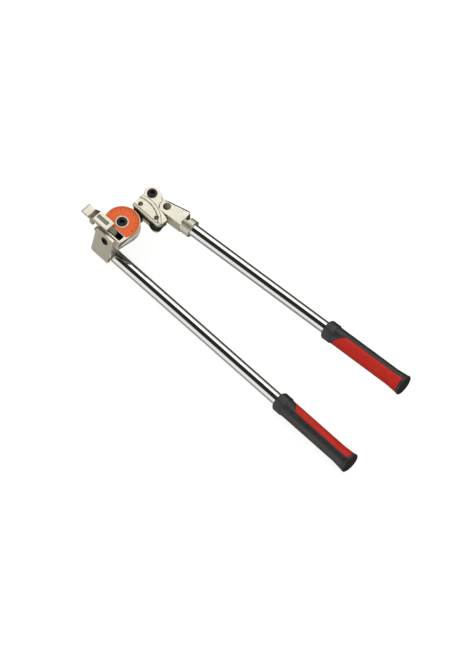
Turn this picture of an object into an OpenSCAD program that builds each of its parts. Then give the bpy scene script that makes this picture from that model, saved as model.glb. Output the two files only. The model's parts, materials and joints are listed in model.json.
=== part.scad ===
// Lever tube bender with a two-stage handle, its arm swung a quarter turn into a bend.
// X runs along the fixed handle and Z is the axis that the arm swings about.
// The origin is the bend centre, in the middle plane of the tube groove.

/* [Tube and bend] */
// Outside diameter of the tube that the bender takes
tube_d = 9.5; // [8.5:0.1:10]
// Bend radius, to the middle of the tube
bend_r = 23.8; // [23:0.1:26]
// Radial room for the tube in the grooves
groove_clear = 0.1; // [0.05:0.01:0.2]

/* [Former] */
// Thickness of the former
former_t = 16; // [15:0.5:18]
// How far the former's rim stands past the middle of the tube
former_lip = 0.5; // [0.2:0.1:0.8]
// Turn of the foot's right side inward from the former's edge, in degrees
foot_turn = 9; // [7:0.5:11]
// Wall of the foot below the latch slot
foot_wall = 2.3; // [2:0.1:4]
// Lean of the outer face of the foot, in degrees
lean = 14; // [10:1:16]
// Depth of the pad below the back face of the former
pad_h = 6; // [5:0.5:7]
// Room between the pad and the hub of the link
pad_room = 2.5; // [1:0.5:3]
// Radius of the hub boss round the pivot bolt
hub_r = 9.1; // [8.5:0.1:10]
// Height of the hub boss
hub_h = 1.2; // [1:0.1:2]

/* [Dial plate] */
// Thickness of the dial plate
dial_t = 0.6; // [0.5:0.1:0.8]
// Bare rim of the former outside the dial plate
dial_rim = 0.9; // [0.6:0.1:2]
// Gap between the dial plate and the hub boss
dial_gap = 0.1; // [0.05:0.05:0.3]
// Bare wall between the dial plate and the latch slot
dial_wall = 1.4; // [1:0.1:2]

/* [Pivot] */
// Diameter of the pivot bolt's shank
pivot_d = 8; // [7:0.5:9]
// Diameter of the pivot bolt's head
pivot_head_d = 13.6; // [13:0.1:14.5]
// Height of the pivot bolt's head
pivot_head_h = 6; // [5:0.5:7]
// Depth of the head below the rim of the hub boss
pivot_head_sink = 0.3; // [0.2:0.1:0.6]
// Width across the flats of the hexagon sockets of the large screws
socket_af = 6; // [5:0.5:6.5]
// Depth of the hexagon sockets of the large screws
socket_depth = 4; // [3:0.5:4.5]
// Wall of the bush in the link
bush_wall = 2; // [1.5:0.25:2.5]
// Thickness of the washer behind the link
washer_t = 1.5; // [1:0.25:2]
// Rim of the washer outside the nut's flats
washer_rim = 2; // [1.5:0.25:3]
// Width across the flats of the pivot nut
nut_af = 13; // [12.5:0.5:14]
// Height of the pivot nut
nut_h = 6.5; // [5:0.5:8]
// Thread standing past the nut
thread_past = 1.5; // [1:0.5:3]

/* [Handle bracket] */
// Width of the bracket plate
lug_w = 31; // [29:0.5:32]
// Distance from the bend centre to the right side of the bracket plate
lug_right = 13; // [12.5:0.5:14]
// Thickness of the bracket plate
lug_t = 5; // [4.5:0.25:6]
// Length of the bracket plate down its lean
lug_l = 45; // [44:0.5:46]
// Distance of the plate's upper edge below the former's front face, down the lean
lug_drop = 2; // [1.5:0.25:2.25]
// Radius of the plate's lower left corner
lug_corner = 4; // [3:0.5:6]
// Radius of the plate's lower right corner
lug_toe = 1.5; // [1:0.25:2.5]
// Distance of the bracket screw below the plate's upper edge
lug_screw_drop = 11; // [10.75:0.25:12]
// Sideways place of the bracket screw
lug_screw_x = -0.5; // [-1.5:0.25:0.5]
// Diameter of the bracket screw's head
lug_head_d = 11.6; // [11:0.1:12.2]
// Height of the bracket screw's head
lug_head_h = 3.4; // [3:0.1:3.6]
// Diameter of the bracket screw's shank
lug_screw_d = 6; // [5:0.5:6]
// Length of the bracket screw's thread in the former
lug_thread = 12; // [10:0.5:13]
// Shortfall of the socket block from the plate's right side
block_step = 4.5; // [4.25:0.25:5]
// Shortfall of the socket block from the plate's left side
block_in = 1.5; // [1:0.25:2]
// Wall of the socket block past the handle bore
block_wall = 2.5; // [2:0.25:3.5]
// Wall at the closed end of the handle bore
block_end = 3; // [2:0.5:5]

/* [Handles] */
// Outside diameter of the handle tubes
handle_d = 17; // [16:0.25:17]
// Wall of the handle tubes
handle_wall = 2; // [1.5:0.25:2.5]
// Height of the fixed handle's axis below the tube groove
low_drop = 36.5; // [35:0.5:38]
// Distance of the fixed handle's axis from the bend centre, across the former
low_side = 25; // [24:0.5:25.5]
// Where the grip of the fixed handle starts, from the bend centre
low_grip_x = 314; // [280:1:340]
// Where the grip of the swing handle starts, from its pivot
up_grip_x = 272; // [240:1:300]
// Angle of the swing handle to the fixed handle, in degrees
handle_tilt = 4.9; // [4:0.1:6]
// Diameter of the set screws that hold the handle tubes
set_screw_d = 6; // [5:0.5:7]
// Width across the flats of the sockets of the set screws
set_socket_af = 3; // [2.5:0.25:3]

/* [Grips] */
// Length of a grip
grip_l = 131; // [120:1:140]
// Radius of a grip's body
grip_r = 12.5; // [12:0.1:13]
// Length of the eight-sided collar at the front of a grip
grip_collar_l = 15; // [12:0.5:16]
// Distance of the collar's flats from the grip's axis
grip_collar_r = 12.7; // [12.6:0.1:13.5]
// Bevel at the front of the collar
grip_collar_bevel = 1.2; // [0.8:0.1:2]
// Thickness of the inlaid panel
panel_t = 1.8; // [1.2:0.1:2]
// Black band in front of the inlaid panel
panel_front = 3; // [2:0.5:8]
// How far the inlaid panel reaches past the middle of a grip
panel_reach = 1.5; // [0:0.25:3]
// How much further back the inlaid panel starts along its seam than along its middle
panel_slant = 15; // [5:1:20]
// Length of the widening end of a grip's body
grip_flare_l = 16; // [12:1:20]
// Radius of a grip's body at its end
grip_flare_r = 13.9; // [13.5:0.1:14]
// Length of the cap at the end of a grip
grip_cap_l = 4; // [3.5:0.25:5]
// Radius of the cap at the end of a grip
grip_cap_r = 14.5; // [14.2:0.1:15]
// Rounding of the cap's rim
grip_cap_round = 1.5; // [1:0.25:1.5]

/* [Rollers] */
// Radius of the rollers' flanges
roller_r = 9.3; // [9:0.1:9.4]
// Height of the rollers
roller_h = 12.6; // [12:0.1:13]
// Distance between the rollers
roller_pitch = 29.5; // [28:0.5:31]
// Diameter of the roller pins
roller_pin_d = 6; // [5:0.25:6]
// Gap between the rollers and the former
roller_gap = 0.5; // [0.4:0.1:0.8]
// Gap at each face of a roller
roller_side = 0.3; // [0.2:0.05:0.4]
// Gap round a roller in the arm
roller_room = 0.6; // [0.5:0.1:0.8]

/* [Arm] */
// Thickness of the link's strap
link_t = 6; // [5:0.25:7]
// Gap between the link and the former
link_gap = 0.4; // [0.3:0.05:0.6]
// Width of the link's strap
strap_w = 20; // [19:0.5:21]
// Radius of the link's hub
link_hub_r = 11; // [10.5:0.25:11.5]
// Sideways place of the tie screw
tie_x = -2; // [-3:0.25:-1]
// Distance of the tie screw above the rollers' pins
tie_up = 23.5; // [23:0.25:24.5]
// Diameter of the tie screw's head
tie_head_d = 12.9; // [12:0.1:13.2]
// Height of the tie screw's head
tie_head_h = 4.75; // [4.75:0.25:5.5]
// Diameter of the tie screw's shank
tie_d = 8; // [7:0.5:9]
// Radius of the boss round the tie screw
boss_r = 10.5; // [10:0.25:11]
// Height of the arm's cheek above the rollers' cover seat
cheek_h = 3; // [2.5:0.25:4]
// Distance of the cheek's end from the handle pivot
cheek_short = 7.5; // [7:0.25:9]
// Thickness of the arm's tongue
tongue_t = 10; // [9:0.5:11]
// Shortfall of the tongue's round end from the clevis end
tongue_short = 1; // [0.5:0.25:1.5]
// Distance of the arm's left side from the first roller
arm_left = 9; // [8.5:0.25:9.4]
// Reach of the arm's ledge past the second roller
arm_right = 6; // [5:0.5:8]
// Distance of the link's lower edge below the rollers' pins
back_down = 5; // [4.5:0.25:6]
// Radius of the link round the second roller's pin
back_end_r = 7; // [6:0.25:8]

/* [Roller cover] */
// Thickness of the roller cover's plate
cover_t = 7; // [6.6:0.2:8]
// Height of the arched rim on the cover
rim_h = 1.2; // [0.8:0.1:1.4]
// Radius of the rim's outer edge
rim_r = 44; // [43:0.5:45]
// Width of the rim's top
rim_w = 3.7; // [3:0.1:4.5]
// Sideways place of the middle of the rim's arch
rim_x = 6.5; // [6:0.25:7]
// Height of the rim's arch above the rollers' pins
rim_up = 12.9; // [12.5:0.1:13]
// Distance of the cover's lower edge below the rollers' pins
cover_down = 7; // [6.5:0.25:8]
// Distance of the cover's left side from the first roller pin
cover_left = 8; // [7.5:0.25:8.5]
// Reach of the cover past the second roller pin
cover_right = 12.5; // [11.5:0.25:12.5]
// Radius of the cover's lower right corner
cover_corner_r = 8.5; // [7:0.25:9.5]
// Radius of the cover's arched upper edge
arch_r = 120; // [110:1:130]
// Sideways place of the middle of the cover's arch
arch_x = 3; // [2:0.5:4]
// Height of the cover's arch above the rollers' pins
arch_up = 14.5; // [14:0.1:14.6]
// Chamfer of the cover's lower edge
cover_chamfer = 2.4; // [1:0.2:3]
// Gap between the cover and the arm's cheek
cover_gap = 0.3; // [0.2:0.05:0.5]
// Depth of the roller pins' ends below the cover's face
pin_sink = 1; // [0.6:0.1:1.5]

/* [Clevis] */
// Sideways place of the handle pivot
pin_x = 26; // [25:0.5:27]
// Distance of the handle pivot above the rollers' pins
pin_up = 22.9; // [22.5:0.1:24]
// Diameter of the clevis pin
clevis_pin_d = 10; // [9:0.25:10.5]
// Radius of the clevis's round end
clevis_r = 10; // [9.8:0.1:10.2]
// Thickness of the clevis
clevis_t = 21; // [20.5:0.25:22]
// Length of the clevis from its pin to the collar
clevis_l = 31; // [29:0.5:33]
// Widest height of the clevis above the handle's axis
flare = 15; // [14:0.25:15.5]
// Distance of the widest place from the pin
flare_x = 26; // [24:0.5:27]
// Height of the clevis above the axis at its collar
clevis_end_up = 11.5; // [11:0.25:12]
// Bevel along the flared edge
clevis_bevel = 3.5; // [2:0.25:4]
// Side gap between the tongue and the clevis
fork_gap = 0.2; // [0.15:0.05:0.3]
// Gap between the clevis and the arm
clevis_gap = 0.4; // [0.3:0.05:0.6]
// Length of the clevis's collar
collar_l = 14; // [13.5:0.25:16]
// Radius of the clevis's collar
collar_r = 12; // [11.5:0.1:12.5]
// Width of the notch in the collar
notch_w = 4; // [3.5:0.25:4.5]
// Depth of the notch
notch_depth = 11; // [10:0.25:11.5]
// Length of handle tube inside the collar
clevis_seat = 8.5; // [8:0.25:9]

/* [Latch] */
// Middle of the latch, from the bend centre
latch_side = 18; // [17.75:0.25:19]
// Width of the latch
latch_w = 15.2; // [14:0.2:15.6]
// Width of the latch's knuckle
knuckle_w = 7.6; // [7:0.2:8]
// Radius of the latch's knuckle
knuckle_r = 4.8; // [4.5:0.1:5]
// Height of the knuckle's neck on the end of the hook plate
neck_h = 2; // [1.5:0.25:3]
// Length of the neck under the hook plate
neck_in = 3.5; // [3:0.25:3.5]
// Sideways place of the latch pin
latch_pin_x = 3; // [2:0.25:3.5]
// Diameter of the latch pin
latch_pin_d = 4; // [3.5:0.25:4.5]
// Gap between the knuckle and the slot's walls
slot_room = 0.4; // [0.3:0.05:0.6]
// Length of the slot past the latch pin
slot_right = 14.3; // [13.8:0.1:15]
// Length of the slot before the latch pin
slot_left = 10; // [9.5:0.25:11]
// Height of the hook plate above the former's face
hook_gap = 1; // [0.9:0.1:1.3]
// Thickness of the hook plate
hook_t = 5.5; // [5:0.25:6]
// Distance of the hook plate's near end from the latch pin
hook_near = 6; // [6:0.25:6.5]
// Thickness of the hook's wall outside the tube
hook_wall = 6.2; // [5:0.2:7]
// Reach of the hook's wall below the middle of the tube
hook_down = 5; // [4:0.25:6]
// Gap between the hook and the tube
hook_clear = 0.15; // [0.1:0.05:0.3]
// Gap between the hook and the former's rim
hook_rim_gap = 0.6; // [0.5:0.1:0.8]
// Length of the thumb tab
tab_l = 15; // [12:0.5:15.25]
// Thickness of the thumb tab
tab_t = 3; // [2.5:0.25:4]
// Height of the lip at the end of the thumb tab
tab_lip = 1; // [0.6:0.1:1.5]
// Height of the ramp from the thumb tab to the hook plate
ramp_h = 7; // [6:0.25:8]
// Distance of the ramp's foot from the hook's wall, on the thumb tab
ramp_out = 3; // [2:0.25:4]
// Distance of the ramp's top from the hook's wall, on the hook plate
ramp_in = 6.5; // [5.5:0.25:7]
// Length of the name plate
name_l = 19; // [16:0.5:20]
// Distance of the name plate from the ramp
name_in = 1.6; // [1:0.2:3]
// Width of the name plate
name_w = 5.3; // [4:0.1:7]
// Depth of the name plate's recess
name_sink = 0.7; // [0.6:0.1:1]
// Thickness of the name plate
name_t = 0.5; // [0.3:0.05:0.6]

/* [Fits] */
// Radial room of a turning fit
run_fit = 0.05; // [0.02:0.01:0.08]
// Radial room of a fixed fit
seat_fit = 0.02; // [0.01:0.01:0.04]

/* [Hidden] */
$fn = 96;

// Overshoot of every cut, and a length longer than the head of the bender
cut = 1;
far = 120;

nickel = "#d8cfb8";
chrome = "#cfd2d6";
black = "#2a2a2c";
orange = "#dd5c2a";
red = "#c22018";
grey = "#8f9290";

groove_r = tube_d / 2 + groove_clear;
former_r = bend_r + former_lip;
face_z = former_t / 2;
slot_w = knuckle_w + 2 * slot_room;
slot_low_y = -latch_side - slot_w / 2;
slot_high_y = -latch_side + slot_w / 2;
foot_drop = -slot_low_y + foot_wall;

// The latch pin sits so that the knuckle's crown is level with the former's face
latch_pin_z = face_z - knuckle_r;
slot_floor_z = latch_pin_z - knuckle_r - slot_room;
latch_pin_top_y = slot_high_y + latch_pin_d;

lug_left = lug_right - lug_w;
lug_screw_z = -lug_drop - lug_screw_drop;
pad_z = -face_z - pad_h;
pad_y = -link_hub_r - pad_room;
foot_reach = foot_drop + (face_z - pad_z) * tan(lean) + cut;
foot_low_x = (former_r - foot_reach * sin(foot_turn)) / cos(foot_turn);
block_left = lug_left + block_in;
block_right = lug_right - block_step;
socket_r = handle_d / 2 + block_wall;
block_low_z = -low_drop - socket_r;
block_near_y = -low_side + socket_r;

pivot_seat_z = face_z + hub_h - pivot_head_sink - pivot_head_h;
link_top_z = -face_z - link_gap;
link_low_z = link_top_z - link_t;
bush_r = pivot_d / 2 + run_fit + bush_wall;
washer_z = link_low_z - fork_gap - washer_t;
washer_r = nut_af / 2 + washer_rim;
nut_z = washer_z - nut_h;
pivot_tip_z = nut_z - thread_past;

roller_y = former_r + roller_gap + roller_r;
roller_top_z = roller_h / 2;
plate_top_z = -roller_top_z - roller_side;
cover_z = roller_top_z + roller_side;
cover_top_z = cover_z + cover_t;
cheek_z = cover_z + cheek_h;
plate_y = roller_y - back_down;
tie_y = roller_y + tie_up;
pin_y = roller_y + pin_up;
arm_right_x = roller_pitch + arm_right;
arm_low_y = roller_y + cover_down;
ledge = clevis_r + clevis_gap;
tongue_r = clevis_r - tongue_short;

tube_r = handle_d / 2;
collar_end = clevis_l + collar_l;
swing_tube_start = collar_end - clevis_seat;
set_screw_x = collar_end - clevis_seat / 2;
fixed_tube_start = block_left + block_end;
fixed_set_x = (fixed_tube_start + block_right) / 2;
set_screw_l = tube_r - handle_wall;
grip_tube_l = grip_l - grip_cap_l;

hook_low_z = face_z + hook_gap;
hook_top_z = hook_low_z + hook_t;
hook_near_x = latch_pin_x - hook_near;
hook_inner_x = -bend_r - groove_r - hook_clear;
hook_outer_x = hook_inner_x - hook_wall;
hook_lip_x = -former_r - hook_rim_gap;
tab_end_x = hook_outer_x - tab_l;
tab_top_z = hook_top_z - ramp_h;
tab_low_z = tab_top_z - tab_t;
ramp_low_x = hook_outer_x - ramp_out;
ramp_high_x = hook_outer_x + ramp_in;
name_x = ramp_high_x + name_in + name_l / 2;

// Frames

// The swing handle's frame: the origin on the clevis pin, X along the handle
module handle_frame() {
    translate([pin_x, pin_y, 0]) rotate([0, 0, handle_tilt]) children();
}

// The leaning frame: Y points into the foot, Z up the lean from the foot's upper edge
module lean_frame() {
    translate([0, -foot_drop, face_z]) rotate([-lean, 0, 0]) children();
}

// Stands a shape that was drawn along Z on the fixed handle's axis, from x on
module on_fixed_handle(x) {
    translate([x, -low_side, -low_drop]) rotate([0, 90, 0]) children();
}

// Stands a shape that was drawn along Z on the swing handle's axis, from x on
module on_swing_handle(x) {
    handle_frame() translate([x, 0, 0]) rotate([0, 90, 0]) children();
}

// Lays a shape that was drawn along Z on the latch pin's axis, upper end at y
module on_latch_pin(y) {
    translate([latch_pin_x, y, latch_pin_z]) rotate([90, 0, 0]) children();
}

// A socket head screw with its head seat at the origin
module cap_screw(head_d, head_h, shank_d, shank_l, af, depth) {
    difference() {
        union() {
            cylinder(d = head_d, h = head_h);
            translate([0, 0, -shank_l]) cylinder(d = shank_d, h = shank_l + head_h / 2);
        }
        translate([0, 0, head_h - depth]) hexagon(af, depth + cut);
    }
}

// A hexagonal prism, given across its flats
module hexagon(af, h) {
    cylinder(d = af / cos(30), h = h, $fn = 6);
}

// A plain tube
module pipe(outer_r, inner_r, h) {
    difference() {
        cylinder(r = outer_r, h = h);
        translate([0, 0, -cut]) cylinder(r = inner_r, h = h + 2 * cut);
    }
}

// Everything outside the foot's leaning face
module outside_lean() {
    lean_frame() translate([-far, -far, -far]) cube([2 * far, far, 2 * far]);
}

// Former and what is fixed to it

module former_blank() {
    translate([0, 0, -face_z]) linear_extrude(former_t) {
        circle(r = former_r);
        polygon([
            [-former_r, 0], [-former_r, -foot_reach], [foot_low_x, -foot_reach],
            [former_r * cos(foot_turn), -former_r * sin(foot_turn)], [0, 0]
        ]);
    }
    translate([0, 0, face_z - cut]) cylinder(r = hub_r, h = hub_h + cut);
    translate([block_left, -foot_reach, pad_z])
        cube([block_right - block_left, foot_reach + pad_y, pad_h + cut]);
}

// The half ring of the bend and the straight run at each end of it
module tube_groove() {
    intersection() {
        rotate_extrude() translate([bend_r, 0]) circle(r = groove_r);
        translate([-far, 0, -far]) cube([2 * far, far, 2 * far]);
    }
    for (side = [-1, 1])
        translate([side * bend_r, 0, 0]) rotate([90, 0, 0]) cylinder(r = groove_r, h = far);
}

module former() {
    color(nickel) difference() {
        former_blank();
        tube_groove();
        outside_lean();
        translate([0, 0, pivot_seat_z]) cylinder(d = pivot_head_d + 2 * pivot_head_sink, h = far);
        translate([0, 0, -far]) cylinder(d = pivot_d + 2 * seat_fit, h = 2 * far);
        translate([latch_pin_x - slot_left, slot_low_y, slot_floor_z])
            cube([slot_left + slot_right, slot_w, far]);
        on_latch_pin(latch_pin_top_y) cylinder(d = latch_pin_d + 2 * seat_fit, h = far);
        lean_frame() translate([lug_screw_x, lug_thread + cut, lug_screw_z])
            rotate([90, 0, 0]) cylinder(d = lug_screw_d + 2 * seat_fit, h = far);
    }
}

module dial_plate() {
    color(orange) translate([0, 0, face_z]) linear_extrude(dial_t) difference() {
        circle(r = former_r - dial_rim);
        circle(r = hub_r + dial_gap);
        translate([-far, slot_high_y + dial_wall - far]) square([2 * far, far]);
    }
}

module pivot_bolt() {
    color(black) translate([0, 0, pivot_seat_z])
        cap_screw(pivot_head_d, pivot_head_h, pivot_d, pivot_seat_z - pivot_tip_z,
                  socket_af, socket_depth);
}

module pivot_washer() {
    color(chrome) translate([0, 0, washer_z])
        pipe(washer_r, pivot_d / 2 + seat_fit, washer_t);
}

module pivot_nut() {
    color(chrome) difference() {
        translate([0, 0, nut_z]) hexagon(nut_af, nut_h);
        translate([0, 0, -far]) cylinder(d = pivot_d + 2 * seat_fit, h = 2 * far);
    }
}

// The plate's outline: square upper corners and round lower ones
module lug_outline() {
    low = -lug_drop - lug_l;
    translate([lug_left, low + lug_corner]) square([lug_w - lug_toe, lug_l - lug_corner]);
    translate([lug_left + lug_corner, low]) square([lug_w - lug_corner - lug_toe, lug_l]);
    translate([lug_left + lug_corner, low + lug_toe])
        square([lug_w - lug_corner, lug_l - lug_toe]);
    translate([lug_left + lug_corner, low + lug_corner]) circle(r = lug_corner);
    translate([lug_right - lug_toe, low + lug_toe]) circle(r = lug_toe);
}

// The block under the former's pad, round below, that holds the fixed handle
module socket_block() {
    difference() {
        union() {
            translate([block_left, -far, -low_drop])
                cube([block_right - block_left, far + block_near_y, pad_z + low_drop]);
            on_fixed_handle(block_left) cylinder(r = socket_r, h = block_right - block_left);
        }
        outside_lean();
    }
}

module handle_bracket() {
    color(nickel) difference() {
        union() {
            lean_frame() rotate([90, 0, 0]) linear_extrude(lug_t) lug_outline();
            socket_block();
        }
        on_fixed_handle(fixed_tube_start) cylinder(r = tube_r + seat_fit, h = far);
        translate([fixed_set_x, -low_side, -low_drop - far])
            cylinder(d = set_screw_d + 2 * seat_fit, h = far);
        lean_frame() translate([lug_screw_x, 0, lug_screw_z]) rotate([90, 0, 0]) {
            translate([0, 0, -cut]) cylinder(d = lug_screw_d + 2 * seat_fit, h = far);
            translate([0, 0, lug_t - lug_head_h]) cylinder(d = lug_head_d + 2 * seat_fit, h = far);
        }
    }
}

module bracket_screw() {
    color(black) lean_frame() translate([lug_screw_x, lug_head_h - lug_t, lug_screw_z])
        rotate([90, 0, 0])
            cap_screw(lug_head_d, lug_head_h, lug_screw_d, lug_thread + lug_t - lug_head_h,
                      socket_af, lug_head_h - cut);
}

module latch_pin() {
    color(chrome) difference() {
        on_latch_pin(latch_pin_top_y) cylinder(d = latch_pin_d, h = far);
        translate([0, seat_fit, 0]) outside_lean();
    }
}

// Handle tubes and grips

module set_screw(l) {
    difference() {
        cylinder(d = set_screw_d, h = l);
        translate([0, 0, -cut]) hexagon(set_socket_af, l / 2 + cut);
    }
}

module fixed_handle_tube() {
    color(chrome) difference() {
        on_fixed_handle(fixed_tube_start)
            pipe(tube_r, tube_r - handle_wall, low_grip_x + grip_tube_l - fixed_tube_start);
        translate([fixed_set_x, -low_side, -low_drop - far])
            cylinder(d = set_screw_d + 2 * seat_fit, h = far);
    }
}

module fixed_set_screw() {
    color(black) translate([fixed_set_x, -low_side, block_low_z])
        set_screw(-low_drop - set_screw_l - block_low_z);
}

module swing_handle_tube() {
    color(chrome) difference() {
        on_swing_handle(swing_tube_start)
            pipe(tube_r, tube_r - handle_wall, up_grip_x + grip_tube_l - swing_tube_start);
        handle_frame() translate([set_screw_x, 0, -far])
            cylinder(d = set_screw_d + 2 * seat_fit, h = far);
    }
}

module swing_set_screw() {
    color(black) handle_frame() translate([set_screw_x, 0, -collar_r])
        set_screw(collar_r - set_screw_l);
}

// The eight-sided collar that stops the hand, bevelled at its front
module grip_collar() {
    turn = 180 / 8;
    intersection() {
        rotate([0, 0, turn]) cylinder(r = grip_collar_r / cos(turn), h = grip_collar_l, $fn = 8);
        cylinder(
            r1 = grip_collar_r - grip_collar_bevel,
            r2 = grip_collar_r - grip_collar_bevel + grip_collar_l,
            h = grip_collar_l
        );
    }
}

// A grip's round body, which widens towards its end
module grip_body(inner) {
    rotate_extrude() polygon([
        [inner, grip_collar_l / 2], [grip_r, grip_collar_l / 2],
        [grip_r, grip_tube_l - grip_flare_l], [grip_flare_r, grip_tube_l], [inner, grip_tube_l]
    ]);
}

// The inlaid panel's outline, seen from the side of the grip
module panel_zone() {
    start = grip_collar_l + panel_front;
    rotate([90, 0, 90]) translate([0, 0, -grip_l]) linear_extrude(2 * grip_l) polygon([
        [-2 * grip_r, start], [-1.1 * grip_r, start], [panel_reach, start + panel_slant],
        [panel_reach, grip_l], [-2 * grip_r, grip_l]
    ]);
}

module grip_panel() {
    intersection() {
        grip_body(grip_r - panel_t);
        panel_zone();
    }
}

module grip_sleeve() {
    difference() {
        union() {
            grip_collar();
            grip_body(tube_r);
        }
        translate([0, 0, -cut]) cylinder(r = tube_r + seat_fit, h = grip_l);
        intersection() {
            pipe(2 * grip_r, grip_r - panel_t, grip_l);
            panel_zone();
        }
    }
}

module grip_cap() {
    translate([0, 0, grip_tube_l]) rotate_extrude() {
        difference() {
            polygon([
                [0, 0], [grip_flare_r, 0], [grip_cap_r, grip_cap_l / 2],
                [grip_cap_r, grip_cap_l], [0, grip_cap_l]
            ]);
            translate([grip_cap_r - grip_cap_round, grip_cap_l - grip_cap_round])
                difference() {
                    square(grip_cap_round + cut);
                    circle(r = grip_cap_round);
                }
        }
    }
}

module fixed_grip_sleeve() {
    color(black) on_fixed_handle(low_grip_x) rotate([0, 0, 180]) grip_sleeve();
}

module fixed_grip_panel() {
    color(red) on_fixed_handle(low_grip_x) rotate([0, 0, 180]) grip_panel();
}

module fixed_grip_cap() {
    color(black) on_fixed_handle(low_grip_x) grip_cap();
}

module swing_grip_sleeve() {
    color(black) on_swing_handle(up_grip_x) grip_sleeve();
}

module swing_grip_panel() {
    color(red) on_swing_handle(up_grip_x) grip_panel();
}

module swing_grip_cap() {
    color(black) on_swing_handle(up_grip_x) grip_cap();
}

// Arm and rollers

// The plan that the clevis sweeps as the swing handle turns
module clevis_sweep() {
    handle_frame() {
        circle(r = ledge);
        translate([0, -ledge]) square([far, far]);
        polygon([
            [0, 0], [-ledge, 0], [-flare - clevis_gap, flare_x],
            [-flare - clevis_gap, far], [0, far]
        ]);
    }
}

// The plan of the arm above the rollers
module arm_plan() {
    difference() {
        union() {
            translate([tie_x, tie_y]) circle(r = boss_r);
            polygon([
                [-arm_left, arm_low_y], [arm_right_x, arm_low_y], [arm_right_x, pin_y],
                [pin_x - clevis_r, pin_y], [tie_x + boss_r, tie_y + boss_r * 0.8],
                [tie_x, tie_y + boss_r], [tie_x - boss_r, tie_y],
                [-arm_left, roller_y + arch_up]
            ]);
        }
        clevis_sweep();
    }
}

// The tongue between the clevis's cheeks
module tongue_plan() {
    handle_frame() {
        circle(r = tongue_r);
        translate([-2 * tongue_r, 0]) square([2 * tongue_r, tongue_r]);
        translate([-2 * tongue_r, -ledge - cut]) square([3 * tongue_r, ledge + cut]);
    }
}

// The cover's plan, grown by g on its free sides
module cover_plan(g) {
    low = roller_y - cover_down;
    corner_x = roller_pitch + cover_right - cover_corner_r;
    corner_y = low + cover_corner_r;
    intersection() {
        translate([arch_x, roller_y + arch_up - arch_r]) circle(r = arch_r + g);
        union() {
            translate([-cover_left - g, low - g]) square([cover_left + corner_x + g, far]);
            translate([corner_x - cut, corner_y]) square([cover_corner_r + cut + g, far]);
            translate([corner_x, corner_y]) circle(r = cover_corner_r + g);
        }
    }
}

// The raised rim along the cover's arch, which slopes on its outer side
module cover_rim() {
    inner_r = rim_r - rim_w;
    low_r = rim_r + rim_h;
    intersection() {
        linear_extrude(far) cover_plan(0);
        translate([rim_x, roller_y + rim_up - rim_r, cover_top_z]) rotate_extrude() polygon([
            [inner_r, -rim_h], [low_r, -rim_h], [low_r, 0], [rim_r, rim_h], [inner_r, rim_h]
        ]);
    }
}

// Places one shape on each roller's axis
module at_rollers() {
    for (x = [0, roller_pitch]) translate([x, roller_y]) children();
}

module arm_body() {
    color(nickel) difference() {
        union() {
            translate([0, 0, plate_top_z]) linear_extrude(cheek_z - plate_top_z) arm_plan();
            translate([0, 0, -tongue_t / 2]) linear_extrude(tongue_t) tongue_plan();
        }
        at_rollers() translate([0, 0, -far]) cylinder(r = roller_r + roller_room, h = 2 * far);
        translate([0, 0, cover_z]) linear_extrude(far) cover_plan(cover_gap);
        translate([pin_x - cheek_short, -far, cover_z]) cube([far, 2 * far, far]);
        translate([tie_x, tie_y, cover_z]) cylinder(d = tie_head_d + 2 * seat_fit, h = far);
        translate([tie_x, tie_y, -far]) cylinder(d = tie_d + 2 * seat_fit, h = 2 * far);
        translate([pin_x, pin_y, -far]) cylinder(d = clevis_pin_d + 2 * run_fit, h = 2 * far);
    }
}

// The plan of the link behind the rollers and the arm
module roller_plate_plan() {
    translate([-arm_left, plate_y]) square([arm_left + roller_pitch, arm_low_y - plate_y]);
    translate([roller_pitch, roller_y]) circle(r = back_end_r);
    arm_plan();
}

module arm_link() {
    color(nickel) difference() {
        union() {
            translate([0, 0, link_low_z]) linear_extrude(link_t) {
                circle(r = link_hub_r);
                translate([-strap_w / 2, 0]) square([strap_w, plate_y + cut]);
            }
            translate([0, 0, link_low_z]) linear_extrude(plate_top_z - link_low_z)
                difference() {
                    roller_plate_plan();
                    clevis_sweep();
                }
        }
        translate([0, 0, -far]) cylinder(r = bush_r + seat_fit, h = 2 * far);
        at_rollers() translate([0, 0, -far]) cylinder(d = roller_pin_d + 2 * seat_fit, h = 2 * far);
        translate([tie_x, tie_y, -far]) cylinder(d = tie_d + 2 * seat_fit, h = 2 * far);
    }
}

module pivot_bush() {
    color("#b08a4a") translate([0, 0, link_low_z])
        pipe(bush_r, pivot_d / 2 + run_fit, link_t);
}

module tie_screw() {
    color(black) translate([tie_x, tie_y, cover_z])
        cap_screw(tie_head_d, tie_head_h, tie_d, cover_z - link_low_z, socket_af, socket_depth);
}

// The wedge that the chamfer takes off the cover's lower edge
module cover_chamfer_cut() {
    translate([-far, roller_y - cover_down, cover_top_z - cover_chamfer])
        rotate([45, 0, 0]) cube([2 * far, far, far]);
}

module roller_cover() {
    color(nickel) difference() {
        union() {
            translate([0, 0, cover_z]) linear_extrude(cover_t) cover_plan(0);
            cover_rim();
        }
        cover_chamfer_cut();
        at_rollers() translate([0, 0, -far]) cylinder(d = roller_pin_d + 2 * seat_fit, h = 2 * far);
    }
}

module roller_pins() {
    color(grey) at_rollers() translate([0, 0, link_low_z])
        cylinder(d = roller_pin_d, h = cover_top_z - pin_sink - link_low_z);
}

module roller() {
    difference() {
        translate([0, 0, -roller_top_z]) cylinder(r = roller_r, h = roller_h);
        rotate_extrude() translate([roller_y - bend_r, 0]) circle(r = groove_r);
        translate([0, 0, -far]) cylinder(d = roller_pin_d + 2 * run_fit, h = 2 * far);
    }
}

module first_roller() {
    color(black) translate([0, roller_y, 0]) roller();
}

module second_roller() {
    color(black) translate([roller_pitch, roller_y, 0]) roller();
}

// Clevis

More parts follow.
